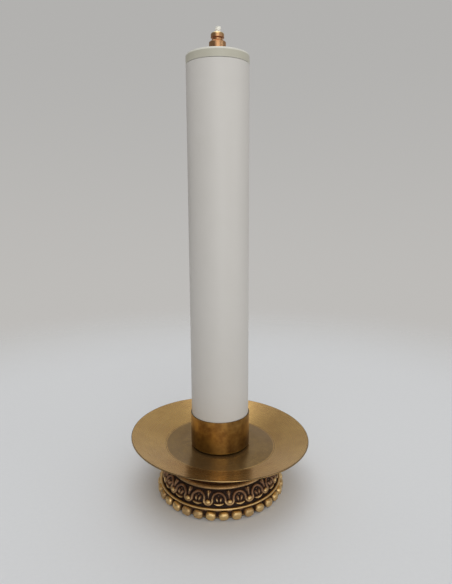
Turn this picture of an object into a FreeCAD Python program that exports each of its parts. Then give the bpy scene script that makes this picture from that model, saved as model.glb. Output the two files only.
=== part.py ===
import FreeCAD, Part
import math
import os

# Altar candlestick with a refillable oil candle. Millimetres, +Z up. The origin is on the
# floor under the middle of the base, and everything turned shares the Z axis.

Vector = FreeCAD.Vector

# ---- base casting -------------------------------------------------------------------
base_radius = 68.25          # over the pearls
pearl_diameter = 8.7
pearl_count = 32
pearl_turn = 3.5             # degrees that one pearl stands to the right of the front (-Y)
pearl_lift = 0.65            # the pearls stop this far above the floor
felt_thickness = 0.8
felt_margin = 0.3            # the felt stays inside the edges of the foot ring
foot_ring_width = 4.8
pearl_embedding = 1.6        # the pearls' centres stand this far outside the foot ring
recess_depth = 1.3           # of the plain groove above the pearls, from the foot ring
recess_height = 1.25
fillet_wire = 1.2            # radius of the round fillet under the frieze
fillet_setback = 2.85        # from base_radius to the fillet's outer edge
frieze_inset = 2.6           # from the middle of the fillet in to the frieze's foot
frieze_height = 13.25        # of the ornamented ovolo, measured upright
frieze_run = 6.8             # and measured level
frieze_bulge = 1.6           # how far it swells out from a straight slope
roll_radius = 2.9            # of the plain round moulding over the frieze
deck_drop = 3.1              # the deck lies this far under the top of that moulding
deck_thickness = 5.0
casting_wall = 3.0           # at the top of the cavity, from the frieze's top
cavity_shoulder = 13.2       # height of the cavity's straight side above the foot

# ---- neck between base and pan --------------------------------------------------------
neck_height = 21.0
neck_margin = 3.5            # from the round moulding to the neck's foot
neck_taper = 3.0             # the neck's top is this much smaller than its foot
neck_waist = 9.0             # depth of the hollow turned into its side
neck_lip = 2.5
neck_core_radius = 20.0      # the hollow inside it
neck_web = 6.0

# ---- drip pan ---------------------------------------------------------------------------
pan_rim_radius = 94.3
pan_floor_radius = 58.5
pan_depth = 12.0
pan_sheet = 1.2

# ---- socket -----------------------------------------------------------------------------
spacer_thickness = 1.2
spacer_setback = 5.0         # the spacer is this much smaller than the socket
socket_height = 35.6
socket_wall = 1.0
socket_floor = 3.0
socket_bevel = 1.6
socket_clearance = 0.10      # a running fit round the candle tube

# ---- centre screw, M8 -------------------------------------------------------------------
screw_diameter = 8.0
screw_length = 45.0
screw_head_diameter = 13.0
screw_head_height = 5.0
screw_slot = 1.6
hole_clearance = 0.30        # round the screw in the pieces it clamps
thread_clearance = 0.05      # between two threads, which are drawn as plain cylinders
washer_diameter = 24.0
washer_thickness = 1.6
spring_washer_diameter = 14.8
spring_washer_thickness = 2.0
spring_washer_slot = 1.5
nut_across_flats = 13.0
nut_height = 6.5

# ---- candle tube ------------------------------------------------------------------------
tube_diameter = 60.0
tube_wall = 2.5
tube_length = 377.4
rest_gap = 0.20              # between the tube's foot and the floor of the socket
plug_height = 15.0
plug_wall = 3.0
plug_head_room = 2.5         # above the head of the centre screw
glue_gap = 0.05

# ---- oil cartridge ------------------------------------------------------------------------
head_band = 8.5              # the part of the head that shows above the tube
head_edge = 1.2              # its rounded top edge
head_top_wall = 4.5
head_seam = 0.30             # the fine groove between tube and head
head_foot_chamfer = 0.35
spigot_length = 12.0
spigot_wall = 2.5
spigot_clearance = 0.10
boss_wall = 3.0
boss_length = 6.3
tank_length = 150.0
tank_wall = 1.2
tank_air = 5.0               # between the tank and the tube
tank_flange = 1.5

# ---- burner -------------------------------------------------------------------------------
gasket_thickness = 0.8
gasket_width = 2.2
seat_gap = 0.10              # between faces that meet when the burner is screwed down
collar_thread_diameter = 12.0
collar_thread_length = 9.0
collar_flange_diameter = 21.0
collar_flange_height = 3.0
collar_diameter = 16.0
collar_height = 11.2
collar_bevel = 1.0
collar_thread_clearance = 0.10
knob_thread_diameter = 8.8
knob_thread_length = 4.0
knob_groove = 1.0            # shows between collar and knob
knob_neck_diameter = 9.8
knob_neck_height = 1.5
knob_diameter = 12.5
knob_height = 4.8
knob_round = 1.4
wick_diameter = 5.2
wick_length = 172.0
wick_above_knob = 5.8
wick_round = 1.6
wick_clearance = 0.10
wick_tube_wall = 0.5
wick_tube_length = 34.0
wick_tube_set_in = 1.0       # its end lies this far below the top of the knob

# ---- places up the axis -----------------------------------------------------------------
foot_z = felt_thickness
pearl_z = pearl_lift + pearl_diameter / 2
pearl_ring_radius = base_radius - pearl_diameter / 2
foot_ring_radius = pearl_ring_radius - pearl_embedding
foot_bore_radius = foot_ring_radius - foot_ring_width
foot_ring_top = pearl_z + pearl_diameter / 2
recess_radius = foot_ring_radius - recess_depth
recess_top = foot_ring_top + recess_height
fillet_radius = base_radius - fillet_setback - fillet_wire
frieze_foot_z = recess_top + 2 * fillet_wire
frieze_foot_radius = fillet_radius - frieze_inset
frieze_top_z = frieze_foot_z + frieze_height
frieze_top_radius = frieze_foot_radius - frieze_run
roll_centre_radius = frieze_top_radius - roll_radius
roll_inner_radius = roll_centre_radius - roll_radius
roll_top_z = frieze_top_z + roll_radius
deck_z = roll_top_z - deck_drop
pan_under_z = deck_z + neck_height
pan_floor_z = pan_under_z + pan_sheet
socket_foot_z = pan_floor_z + spacer_thickness
socket_seat_z = socket_foot_z + socket_floor
socket_top_z = socket_foot_z + socket_height
tube_foot_z = socket_seat_z + rest_gap
tube_top_z = tube_foot_z + tube_length
head_foot_z = tube_top_z + head_seam
head_top_z = head_foot_z + head_band
tank_top_z = head_top_z - head_top_wall
gasket_z = head_top_z + seat_gap
collar_foot_z = gasket_z + gasket_thickness + seat_gap
collar_top_z = collar_foot_z + collar_height
knob_foot_z = collar_top_z + knob_groove
knob_top_z = knob_foot_z + knob_neck_height + knob_height
wick_top_z = knob_top_z + wick_above_knob
deck_under_z = deck_z - deck_thickness

# ---- shared radii -----------------------------------------------------------------------
tube_radius = tube_diameter / 2
tube_bore_radius = tube_radius - tube_wall
socket_bore_radius = tube_radius + socket_clearance
socket_radius = socket_bore_radius + socket_wall
spacer_radius = socket_radius - spacer_setback
screw_radius = screw_diameter / 2
screw_hole_radius = screw_radius + hole_clearance
spigot_radius = tube_bore_radius - spigot_clearance
spigot_bore_radius = spigot_radius - spigot_wall
tank_radius = tube_bore_radius - tank_air
collar_thread_radius = collar_thread_diameter / 2
head_hole_radius = collar_thread_radius + collar_thread_clearance
wick_radius = wick_diameter / 2
wick_tube_bore_radius = wick_radius + wick_clearance
wick_tube_radius = wick_tube_bore_radius + wick_tube_wall
burner_bore_radius = wick_tube_radius + glue_gap


def at(radius, z):
    """A point of a turning outline, in the XZ plane."""
    return Vector(radius, 0, z)


def line(start, end):
    return Part.LineSegment(start, end).toShape()


def outline(points):
    """Straight edges through the points and back to the first."""
    closed = points + points[:1]
    return [line(a, b) for a, b in zip(closed, closed[1:])]


def turned(edges):
    """The solid that a closed outline sweeps about Z."""
    face = Part.Face(Part.Wire(edges))
    solid = face.revolve(Vector(0, 0, 0), Vector(0, 0, 1), 360)
    return solid if solid.Volume > 0 else solid.reversed()


def cylinder(radius, low, high):
    return Part.makeCylinder(radius, high - low, Vector(0, 0, low))


def ring(outer, inner, low, high):
    return cylinder(outer, low, high).cut(cylinder(inner, low, high))


def base_casting():
    """Hollow casting: foot ring with pearls, plain recess, fillet, ovolo frieze, roll and deck."""
    cavity_shoulder_z = foot_z + cavity_shoulder
    cavity_top_radius = frieze_top_radius - casting_wall
    fillet_low = at(fillet_radius, recess_top)
    fillet_side = at(fillet_radius + fillet_wire, recess_top + fillet_wire)
    fillet_high = at(fillet_radius, frieze_foot_z)
    frieze_foot = at(frieze_foot_radius, frieze_foot_z)
    chord = math.hypot(frieze_run, frieze_height)
    frieze_middle = at(
        frieze_top_radius + frieze_run / 2 + frieze_bulge * frieze_height / chord,
        frieze_foot_z + frieze_height / 2 + frieze_bulge * frieze_run / chord,
    )
    roll_side = at(frieze_top_radius, frieze_top_z)
    roll_top = at(roll_centre_radius, roll_top_z)
    roll_inner = at(roll_inner_radius, deck_z)
    edges = [
        line(at(foot_bore_radius, foot_z), at(foot_ring_radius, foot_z)),
        line(at(foot_ring_radius, foot_z), at(foot_ring_radius, foot_ring_top)),
        line(at(foot_ring_radius, foot_ring_top), at(recess_radius, foot_ring_top)),
        line(at(recess_radius, foot_ring_top), at(recess_radius, recess_top)),
        line(at(recess_radius, recess_top), fillet_low),
        Part.Arc(fillet_low, fillet_side, fillet_high).toShape(),
        line(fillet_high, frieze_foot),
        Part.Arc(frieze_foot, frieze_middle, roll_side).toShape(),
        Part.Arc(roll_side, roll_top, roll_inner).toShape(),
        line(roll_inner, at(screw_hole_radius, deck_z)),
        line(at(screw_hole_radius, deck_z), at(screw_hole_radius, deck_under_z)),
        line(at(screw_hole_radius, deck_under_z), at(cavity_top_radius, deck_under_z)),
        line(at(cavity_top_radius, deck_under_z), at(foot_bore_radius, cavity_shoulder_z)),
        line(at(foot_bore_radius, cavity_shoulder_z), at(foot_bore_radius, foot_z)),
    ]
    casting = turned(edges)
    pearls = []
    for number in range(pearl_count):
        angle = math.radians(pearl_turn - 90) + 2 * math.pi * number / pearl_count
        place = Vector(math.cos(angle), math.sin(angle), 0) * pearl_ring_radius
        pearls.append(Part.makeSphere(pearl_diameter / 2, place + Vector(0, 0, pearl_z)))
    return casting.fuse(pearls)


def felt_ring():
    """Felt glued under the foot ring, which the candlestick stands on."""
    return ring(foot_ring_radius - felt_margin, foot_bore_radius + felt_margin, 0, foot_z)


def neck():
    """Turned spool between base and pan, hollow from below, with a scotia round its side."""
    foot_radius = roll_inner_radius - neck_margin
    top_radius = foot_radius - neck_taper
    lower_edge = at(foot_radius, deck_z + neck_lip)
    waist = at(top_radius - neck_waist, deck_z + neck_height / 2)
    upper_edge = at(top_radius, pan_under_z - neck_lip)
    web_z = pan_under_z - neck_web
    edges = [
        line(at(neck_core_radius, deck_z), at(foot_radius, deck_z)),
        line(at(foot_radius, deck_z), lower_edge),
        Part.Arc(lower_edge, waist, upper_edge).toShape(),
        line(upper_edge, at(top_radius, pan_under_z)),
        line(at(top_radius, pan_under_z), at(screw_hole_radius, pan_under_z)),
        line(at(screw_hole_radius, pan_under_z), at(screw_hole_radius, web_z)),
        line(at(screw_hole_radius, web_z), at(neck_core_radius, web_z)),
        line(at(neck_core_radius, web_z), at(neck_core_radius, deck_z)),
    ]
    return turned(edges)


def drip_pan():
    """Spun dish of one sheet: a flat floor and a straight sloping flange."""
    run = pan_rim_radius - pan_floor_radius
    slope = math.hypot(run, pan_depth)
    over = pan_sheet * pan_depth / slope
    under = pan_sheet * run / slope
    bend = pan_sheet * (slope - run) / pan_depth
    return turned(outline([
        at(screw_hole_radius, pan_under_z),
        at(pan_floor_radius + bend, pan_under_z),
        at(pan_rim_radius, pan_floor_z + pan_depth - under),
        at(pan_rim_radius - over, pan_floor_z + pan_depth),
        at(pan_floor_radius, pan_floor_z),
        at(screw_hole_radius, pan_floor_z),
    ]))


def socket_spacer():
    return ring(spacer_radius, screw_hole_radius, pan_floor_z, socket_foot_z)


def socket_cup():
    """Thin straight cup for the candle, with a bevel round its lower edge."""
    return turned(outline([
        at(screw_hole_radius, socket_foot_z),
        at(socket_radius - socket_bevel, socket_foot_z),
        at(socket_radius, socket_foot_z + socket_bevel),
        at(socket_radius, socket_top_z),
        at(socket_bore_radius, socket_top_z),
        at(socket_bore_radius, socket_seat_z),
        at(screw_hole_radius, socket_seat_z),
    ]))


def centre_screw():
    """Slotted cheese-head screw that clamps socket, spacer, pan, neck and base."""
    head_top = socket_seat_z + screw_head_height
    shank = cylinder(screw_radius, socket_seat_z - screw_length, socket_seat_z)
    head = cylinder(screw_head_diameter / 2, socket_seat_z, head_top)
    slot_corner = Vector(-screw_head_diameter, -screw_slot / 2, head_top - screw_head_height / 2)
    slot = Part.makeBox(2 * screw_head_diameter, screw_slot, screw_head_height, slot_corner)
    return shank.fuse(head).cut(slot)


def flat_washer():
    return ring(washer_diameter / 2, screw_hole_radius, deck_under_z - washer_thickness, deck_under_z)


def spring_washer():
    top = deck_under_z - washer_thickness
    foot = top - spring_washer_thickness
    slot_corner = Vector(0, -spring_washer_slot / 2, foot)
    slot = Part.makeBox(spring_washer_diameter, spring_washer_slot, spring_washer_thickness, slot_corner)
    return ring(spring_washer_diameter / 2, screw_hole_radius, foot, top).cut(slot)


def hex_nut():
    top = deck_under_z - washer_thickness - spring_washer_thickness
    corner_radius = nut_across_flats / math.sqrt(3)
    corners = []
    for number in range(6):
        angle = math.pi * number / 3
        corners.append(Vector(corner_radius * math.cos(angle), corner_radius * math.sin(angle), top))
    hexagon = Part.Face(Part.makePolygon(corners + corners[:1]))
    block = hexagon.extrude(Vector(0, 0, -nut_height))
    return block.cut(cylinder(screw_radius + thread_clearance, top - nut_height, top))


def candle_tube():
    return ring(tube_radius, tube_bore_radius, tube_foot_z, tube_top_z)


def tube_foot_plug():
    """Moulded plug glued into the tube's foot, hollow underneath to clear the screw's head."""
    radius = tube_bore_radius - glue_gap
    skirt_radius = radius - plug_wall
    recess_top_z = socket_seat_z + screw_head_height + plug_head_room
    plug = cylinder(radius, tube_foot_z, tube_foot_z + plug_height)
    underside = cylinder(skirt_radius, tube_foot_z, recess_top_z)
    upper = cylinder(skirt_radius, recess_top_z + plug_wall, tube_foot_z + plug_height)
    return plug.cut(underside).cut(upper)


def cartridge_head():
    """White cap of the candle: a band as wide as the tube, a spigot in it and a threaded boss."""
    rounding = head_edge * (1 - math.sqrt(0.5))
    edge_low = at(tube_radius, head_top_z - head_edge)
    edge_mid = at(tube_radius - rounding, head_top_z - rounding)
    edge_high = at(tube_radius - head_edge, head_top_z)
    band_foot = at(tube_radius, head_foot_z + head_foot_chamfer)
    chamfer_foot = at(tube_radius - head_foot_chamfer, head_foot_z)
    boss_radius = head_hole_radius + boss_wall
    spigot_foot_z = head_foot_z - spigot_length
    boss_foot_z = tank_top_z - boss_length
    edges = [
        line(at(head_hole_radius, head_top_z), edge_high),
        Part.Arc(edge_high, edge_mid, edge_low).toShape(),
        line(edge_low, band_foot),
        line(band_foot, chamfer_foot),
        line(chamfer_foot, at(spigot_radius, head_foot_z)),
        line(at(spigot_radius, head_foot_z), at(spigot_radius, spigot_foot_z)),
        line(at(spigot_radius, spigot_foot_z), at(spigot_bore_radius, spigot_foot_z)),
        line(at(spigot_bore_radius, spigot_foot_z), at(spigot_bore_radius, tank_top_z)),
        line(at(spigot_bore_radius, tank_top_z), at(boss_radius, tank_top_z)),
        line(at(boss_radius, tank_top_z), at(boss_radius, boss_foot_z)),
        line(at(boss_radius, boss_foot_z), at(head_hole_radius, boss_foot_z)),
        line(at(head_hole_radius, boss_foot_z), at(head_hole_radius, head_top_z)),
    ]
    return turned(edges)


def cartridge_tank():
    """Oil tank, open at the top, glued by its flange under the head."""
    flange_radius = spigot_bore_radius - glue_gap
    bore_radius = tank_radius - tank_wall
    foot_z = tank_top_z - tank_length
    return turned(outline([
        at(0, foot_z),
        at(tank_radius, foot_z),
        at(tank_radius, tank_top_z - tank_flange),
        at(flange_radius, tank_top_z - tank_flange),
        at(flange_radius, tank_top_z),
        at(bore_radius, tank_top_z),
        at(bore_radius, foot_z + tank_wall),
        at(0, foot_z + tank_wall),
    ]))


def burner_gasket():
    inner = head_hole_radius
    return ring(inner + gasket_width, inner, gasket_z, gasket_z + gasket_thickness)


def burner_collar():
    """Brass collar that screws into the head, with a grip flange at its foot."""
    thread_foot_z = collar_foot_z - collar_thread_length
    flange_radius = collar_flange_diameter / 2
    radius = collar_diameter / 2
    seat_radius = knob_thread_diameter / 2 + thread_clearance
    seat_z = collar_top_z - knob_thread_length
    return turned(outline([
        at(burner_bore_radius, thread_foot_z),
        at(collar_thread_radius, thread_foot_z),
        at(collar_thread_radius, collar_foot_z),
        at(flange_radius, collar_foot_z),
        at(flange_radius, collar_foot_z + collar_flange_height),
        at(radius, collar_foot_z + collar_flange_height),
        at(radius, collar_top_z - collar_bevel),
        at(radius - collar_bevel, collar_top_z),
        at(seat_radius, collar_top_z),
        at(seat_radius, seat_z),
        at(burner_bore_radius, seat_z),
    ]))


def burner_knob():
    """Round knob over the collar, screwed into its top and bored for the wick tube."""
    foot = collar_top_z - knob_thread_length
    neck_radius = knob_neck_diameter / 2
    radius = knob_diameter / 2
    thread_radius = knob_thread_diameter / 2
    under_z = knob_foot_z + knob_neck_height
    rounding = knob_round * (1 - math.sqrt(0.5))
    low_in = at(radius - knob_round, under_z)
    low_mid = at(radius - rounding, under_z + rounding)
    low_out = at(radius, under_z + knob_round)
    high_out = at(radius, knob_top_z - knob_round)
    high_mid = at(radius - rounding, knob_top_z - rounding)
    high_in = at(radius - knob_round, knob_top_z)
    edges = [
        line(at(burner_bore_radius, foot), at(thread_radius, foot)),
        line(at(thread_radius, foot), at(thread_radius, knob_foot_z)),
        line(at(thread_radius, knob_foot_z), at(neck_radius, knob_foot_z)),
        line(at(neck_radius, knob_foot_z), at(neck_radius, under_z)),
        line(at(neck_radius, under_z), low_in),
        Part.Arc(low_in, low_mid, low_out).toShape(),
        line(low_out, high_out),
        Part.Arc(high_out, high_mid, high_in).toShape(),
        line(high_in, at(burner_bore_radius, knob_top_z)),
        line(at(burner_bore_radius, knob_top_z), at(burner_bore_radius, foot)),
    ]
    return turned(edges)


def wick_tube():
    top = knob_top_z - wick_tube_set_in
    return ring(wick_tube_radius, wick_tube_bore_radius, top - wick_tube_length, top)


def wick():
    """Glass-fibre wick, from near the tank's floor to its rounded tip above the knob."""
    foot = wick_top_z - wick_length
    rounding = wick_round * (1 - math.sqrt(0.5))
    edge_low = at(wick_radius, wick_top_z - wick_round)
    edge_mid = at(wick_radius - rounding, wick_top_z - rounding)
    edge_high = at(wick_radius - wick_round, wick_top_z)
    edges = [
        line(at(0, foot), at(wick_radius, foot)),
        line(at(wick_radius, foot), edge_low),
        Part.Arc(edge_low, edge_mid, edge_high).toShape(),
        line(edge_high, at(0, wick_top_z)),
        line(at(0, wick_top_z), at(0, foot)),
    ]
    return turned(edges)


nodes = {
    "base_casting": base_casting,
    "felt_ring": felt_ring,
    "neck": neck,
    "drip_pan": drip_pan,
    "socket_spacer": socket_spacer,
    "socket_cup": socket_cup,
    "centre_screw": centre_screw,
    "flat_washer": flat_washer,
    "spring_washer": spring_washer,
    "hex_nut": hex_nut,
    "candle_tube": candle_tube,
    "tube_foot_plug": tube_foot_plug,
    "cartridge_head": cartridge_head,
    "cartridge_tank": cartridge_tank,
    "burner_gasket": burner_gasket,
    "burner_collar": burner_collar,
    "burner_knob": burner_knob,
    "wick_tube": wick_tube,
    "wick": wick,
}

os.makedirs("parts", exist_ok=True)
for name, make in nodes.items():
    shape = make()
    shape.exportStep("parts/" + name + ".step")
    box = shape.optimalBoundingBox(False)
    print(f"{name}: {shape.Volume / 1000:.2f} cm3, valid {shape.isValid()},",
          f"radius {box.XMax:.2f}, z {box.ZMin:.2f} to {box.ZMax:.2f}")
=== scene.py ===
# %% [markdown]
# # An altar candlestick with a refillable oil candle
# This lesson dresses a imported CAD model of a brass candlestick: a cast base with a carved frieze
# and a row of pearls, a spun drip pan, a socket, a white tube with an oil cartridge in it, and a
# brass burner. The CAD model is the fixed frame. Each piece is turned or modelled here in more
# detail than CAD needs, in the same place and size, and then gets a finish made of nodes.

# %% Load the fixed frame
import math
import bpy
import numpy as np
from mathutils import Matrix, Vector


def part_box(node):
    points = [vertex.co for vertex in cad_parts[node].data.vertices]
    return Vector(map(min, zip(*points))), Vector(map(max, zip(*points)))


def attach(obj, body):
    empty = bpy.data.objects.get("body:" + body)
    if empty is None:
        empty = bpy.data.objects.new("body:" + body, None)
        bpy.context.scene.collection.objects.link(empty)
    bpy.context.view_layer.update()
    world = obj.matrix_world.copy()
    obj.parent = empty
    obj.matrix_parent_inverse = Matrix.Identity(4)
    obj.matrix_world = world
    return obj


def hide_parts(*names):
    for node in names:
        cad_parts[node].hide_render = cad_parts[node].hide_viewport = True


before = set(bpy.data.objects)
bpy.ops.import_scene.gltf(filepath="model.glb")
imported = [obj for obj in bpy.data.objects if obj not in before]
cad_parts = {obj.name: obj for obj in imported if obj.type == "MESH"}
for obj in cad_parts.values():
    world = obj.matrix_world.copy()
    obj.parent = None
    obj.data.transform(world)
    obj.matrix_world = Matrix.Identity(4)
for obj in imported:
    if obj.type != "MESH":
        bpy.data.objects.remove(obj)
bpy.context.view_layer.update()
MM = 0.001

# %% [markdown]
# ## The camera
# The picture is taken from a little above the middle of the candle, looking down by about ten
# degrees, with a lens a bit wider than normal. Making the camera first means that every piece can
# be looked at as soon as it exists. The tall picture makes the sensor width count upwards.

# %% Camera
camera_data = bpy.data.cameras.new("camera")
camera_data.sensor_width = 36.0
camera_data.lens = 29.9
camera_data.dof.use_dof = False
camera = bpy.data.objects.new("camera", camera_data)
camera.location = (0.0073, -0.487, 0.3048)
camera.rotation_euler = (math.radians(79.41), math.radians(0.25), 0)
bpy.context.scene.collection.objects.link(camera)
bpy.context.scene.camera = camera
print("camera", round(-camera.location.y / MM), "mm in front, lens", camera_data.lens)

# %% [markdown]
# ## Outlines with rounded corners
# Nearly everything here was made on a lathe, so a piece is an outline that turns round the upright
# axis. No real edge is perfectly sharp: each corner gets a small arc, with a support point on both
# sides of it, so that smooth shading stays on the arc and the flats look flat. The helper also
# gives each point a tone: above zero where hands and cloths wear the metal bright, and below zero
# in the corners where dirt and dark patina stay. On some pieces the tones also paint light and
# shade: a high tone for a painted highlight, a low one for painted shade under and between parts.


# %% Outline helper
def rounded(corners, closed=True, arc_steps=5, support=0.3):
    """Rows of (radius, height, tone) in mm from corners (radius, height, rounding[, tone])."""
    plane = np.array([corner[:2] for corner in corners], float)
    following = np.roll(plane, -1, axis=0)
    area = np.sum(plane[:, 0] * following[:, 1] - following[:, 0] * plane[:, 1])
    if closed and area < 0:
        corners = corners[::-1]
        plane = plane[::-1]
    rows = []
    for number, corner in enumerate(corners):
        here = plane[number]
        rounding = corner[2]
        if rounding == 0 or (not closed and number in (0, len(corners) - 1)):
            rows.append((*here, corner[3] if len(corner) > 3 else 0.0))
            continue
        back = plane[number - 1] - here
        ahead = plane[(number + 1) % len(plane)] - here
        reach_back = np.linalg.norm(back)
        reach_ahead = np.linalg.norm(ahead)
        back /= reach_back
        ahead /= reach_ahead
        half = math.acos(np.clip(back @ ahead, -1, 1)) / 2
        cut = min(rounding / math.tan(half), 0.45 * min(reach_back, reach_ahead))
        convex = back[1] * ahead[0] - back[0] * ahead[1] > 0
        tone = corner[3] if len(corner) > 3 else (0.8 if convex else -0.8)
        middle = here + (back + ahead) / np.linalg.norm(back + ahead) * cut / math.cos(half)
        rows.append((*(here + back * min(cut + support, 0.49 * reach_back)), 0.0))
        for step in range(arc_steps + 1):
            share = step / arc_steps
            toward = ((1 - share) * (here + back * cut - middle)
                      + share * (here + ahead * cut - middle))
            toward *= cut * math.tan(half) / np.linalg.norm(toward)
            rows.append((*(middle + toward), tone))
        rows.append((*(here + ahead * min(cut + support, 0.49 * reach_ahead)), 0.0))
    return np.array(rows)


def arc_through(first, middle, last, count, tone=0.0):
    """Rows on the arc through three points."""
    (ax, ay), (bx, by), (cx, cy) = first, middle, last
    scale = 2 * (ax * (by - cy) + bx * (cy - ay) + cx * (ay - by))
    a2, b2, c2 = ax * ax + ay * ay, bx * bx + by * by, cx * cx + cy * cy
    centre = np.array((
        (a2 * (by - cy) + b2 * (cy - ay) + c2 * (ay - by)) / scale,
        (a2 * (cx - bx) + b2 * (ax - cx) + c2 * (bx - ax)) / scale,
    ))
    start, through, end = (math.atan2(y - centre[1], x - centre[0])
                           for x, y in (first, middle, last))
    through += 2 * math.pi * round((start - through) / (2 * math.pi))
    end += 2 * math.pi * round((through - end) / (2 * math.pi))
    radius = math.hypot(ax - centre[0], ay - centre[1])
    angles = np.linspace(start, end, count)
    return np.column_stack((centre[0] + radius * np.cos(angles),
                            centre[1] + radius * np.sin(angles), np.full(count, tone)))


print("a square corner becomes", len(rounded([(1, 0, 0.1), (2, 0, 0.1), (2, 1, 0.1)])) // 3, "rows")

# %% [markdown]
# ## Turning an outline into a mesh
# Blender has a Screw modifier for this, but writing the rows ourselves lets every piece push its
# points in or out while it turns: a thread, a knurl, a hexagon or a whole carved frieze is the same
# lathe with a different push. Points on the axis are made once, so the mesh is closed and clean.


# %% Lathe
def circle(steps):
    """Evenly spaced angles round the axis."""
    return 2 * math.pi * np.arange(steps) / steps


def make_piece(name, vertices, faces, tone):
    """A smooth mesh object in metres, with the tone of each point stored on it."""
    mesh = bpy.data.meshes.new(name)
    mesh.from_pydata((np.asarray(vertices) * MM).tolist(), [], faces)
    attribute = mesh.attributes.new("tone", "FLOAT", "POINT")
    attribute.data.foreach_set("value", np.asarray(tone, np.float32).ravel())
    mesh.shade_smooth()
    mesh.set_sharp_from_angle(angle=math.radians(40))
    mesh.validate()
    piece = bpy.data.objects.new(name, mesh)
    bpy.context.scene.collection.objects.link(piece)
    return piece


def turn(name, rows, steps=128, push=None, start=0.0):
    """Turns the closed outline round Z. push is (radial, upward[, tone]) in mm, rows by steps."""
    angles = start + circle(steps)
    radius = np.repeat(rows[:, :1], steps, axis=1)
    height = np.repeat(rows[:, 1:2], steps, axis=1)
    tone = np.repeat(rows[:, 2:3], steps, axis=1)
    if push is not None:
        radius = radius + push[0]
        height = height + push[1]
        tone = push[2] if len(push) > 2 else tone
    points = np.stack((radius * np.cos(angles), radius * np.sin(angles), height), axis=-1)
    on_axis = rows[:, 0] < 1e-6
    index = np.arange(rows.shape[0] * steps).reshape(-1, steps)
    index[on_axis] = index[on_axis, :1]
    ahead = np.roll(index, -1, axis=1)
    upper, upper_ahead = np.roll(index, -1, axis=0), np.roll(ahead, -1, axis=0)
    quads = np.stack((index, ahead, upper_ahead, upper), axis=-1).reshape(-1, 4).tolist()
    faces = []
    for quad in quads:
        ring = [corner for place, corner in enumerate(quad) if corner != quad[place - 1]]
        if len(set(ring)) > 2:
            faces.append(ring)
    used = np.unique(index)
    renumber = np.zeros(index.size, int)
    renumber[used] = np.arange(used.size)
    faces = [[int(renumber[corner]) for corner in face] for face in faces]
    return make_piece(name, points.reshape(-1, 3)[used], faces, tone.ravel()[used])


def place(piece, body, material_slot, *nodes):
    """Rides on its body and stands for its CAD nodes; its material_slot argument is not used."""
    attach(piece, body)
    if nodes:
        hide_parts(*nodes)
    print(f"{piece.name}: {len(piece.data.vertices)} points, {len(piece.data.polygons)} faces")


def edges_of(node):
    """The outer radius and the lowest and highest z of a turned CAD node, in mm."""
    low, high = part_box(node)
    return high.x / MM, low.z / MM, high.z / MM


print("lathe ready")

# %% [markdown]
# ## Cast unevenness
# Sand castings are never quite true. A grid of random numbers, blurred in both directions, gives a
# gentle swell that closes on itself round the ring. The numbers are seeded, so each run makes the
# same casting.


# %% Unevenness helper
def uneven(rows, steps, blur_rows, blur_steps, seed):
    """Random swells of about -1 to 1 that close round the ring."""
    grid = np.random.default_rng(seed).normal(size=(rows, steps))
    row_pitch = np.fft.fftfreq(rows)[:, None] * blur_rows
    step_pitch = np.fft.fftfreq(steps)[None, :] * blur_steps
    soft = np.exp(-2 * math.pi ** 2 * (row_pitch ** 2 + step_pitch ** 2))
    grid = np.fft.ifft2(np.fft.fft2(grid) * soft).real
    return grid / (2 * grid.std())


print("swell of a small grid:", round(float(uneven(16, 64, 2, 4, 1).std()), 2))

# %% [markdown]
# ## The carved frieze
# The base carries one ornament eighteen times over: a round ribbon that runs up over an arch and
# down round a cup without a break, a tulip with a creased head between the arches, two petals and a
# seed inside each arch, a ball in each cup and a pointed tongue under each arch. It is written as a
# height map: for each point of the frieze, the distance to every motif gives a height, and the
# highest one wins. One half of a repeat is enough, because it is mirrored about its arch.


# %% Motifs of the frieze
REPEATS = 18
COLUMNS = 44                 # mesh columns in one repeat
FRIEZE_ROWS = 46
HALF_PITCH = 10.4            # mm from the middle of an arch to the middle of a cup
RIBBON = 1.35                # half the ribbon's width
ARCH = (0.0, 9.0, 6.45)      # centre across, centre down and radius, in mm
CUP = (HALF_PITCH, 10.1, 4.1)
PETAL = (1.8, 9.2)           # its centre across and down
PETAL_HALF_LENGTH = 3.0
TONGUE_REACH = 5.2           # half the tongue's length


def dome(share, height):
    """A round bump from a distance given as a share of its half width."""
    return height * np.sqrt(np.clip(1 - share ** 2, 0, None))


def arc_distance(across, down, arc, low, high):
    """Distance to an arc between two angles in degrees, measured from across towards down."""
    angle = np.arctan2(down - arc[1], across - arc[0])
    angle = np.clip(angle, math.radians(low), math.radians(high))
    return np.hypot(across - arc[0] - arc[2] * np.cos(angle),
                    down - arc[1] - arc[2] * np.sin(angle))


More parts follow.
